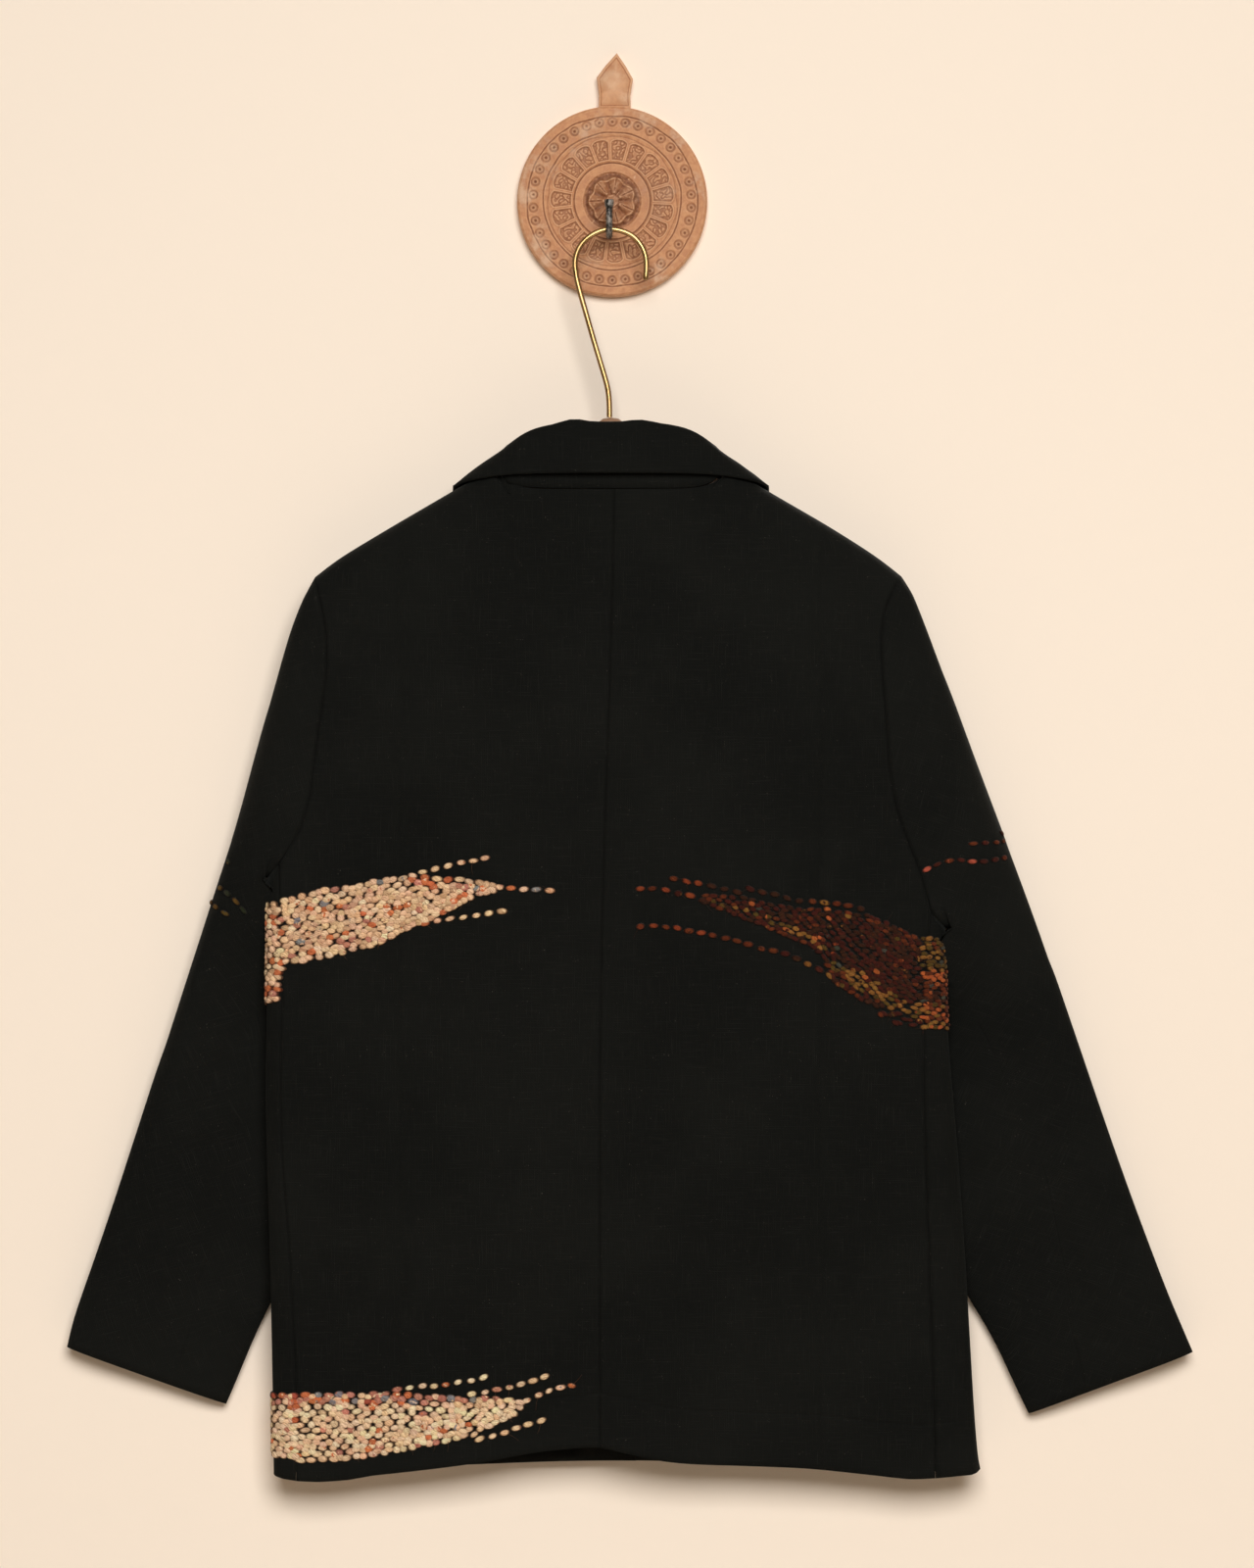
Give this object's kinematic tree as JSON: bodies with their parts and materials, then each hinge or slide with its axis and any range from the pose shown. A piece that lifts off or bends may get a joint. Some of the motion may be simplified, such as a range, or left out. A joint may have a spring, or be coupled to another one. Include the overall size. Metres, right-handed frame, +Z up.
{
  "type": "kantha blazer on a hanger and wall hook",
  "caption": "Black wool blazer with thick yarn running-stitch bands, hung with its back to the room on a wooden hanger from an iron hook in a carved round plaque.",
  "frame": {"origin": "centre of the plaque's back face, on the wall, where the whole is held", "axes": "+Z up; the wall is the plane y = 0 and +Y points into it; the garment's back faces -Y"},
  "size_m": [0.8093, 0.0563, 1.0229],
  "materials": {
    "wool": "matt wool weave",
    "yarn_cream": "thick cream and red yarn stitches",
    "yarn_rust": "thick rust and olive yarn stitches",
    "button": "satin",
    "hanger_wood": "satin varnish",
    "brass": "satin wire",
    "iron": "dark forged",
    "plaque_wood": "carved, reddish brown"
  },
  "bodies": {
    "root": {"back_left": "wool", "front_left": "wool", "sleeve_left": "wool", "lapel_left": "wool", "back_right": "wool", "front_right": "wool", "sleeve_right": "wool", "lapel_right": "wool", "collar": "wool", "band_back_mid_left": "yarn_cream", "band_back_low_left": "yarn_cream", "band_front_mid_left": "yarn_cream", "band_front_low_left": "yarn_cream", "band_back_mid_right": "yarn_rust", "band_front_mid_right": "yarn_rust", "button_1": "button", "button_2": "button", "hanger_body": "hanger_wood", "hanger_hook": "brass", "wall_hook": "iron", "wall_plaque": "plaque_wood", "wall_finial": "plaque_wood"}
  },
  "joints": []
}
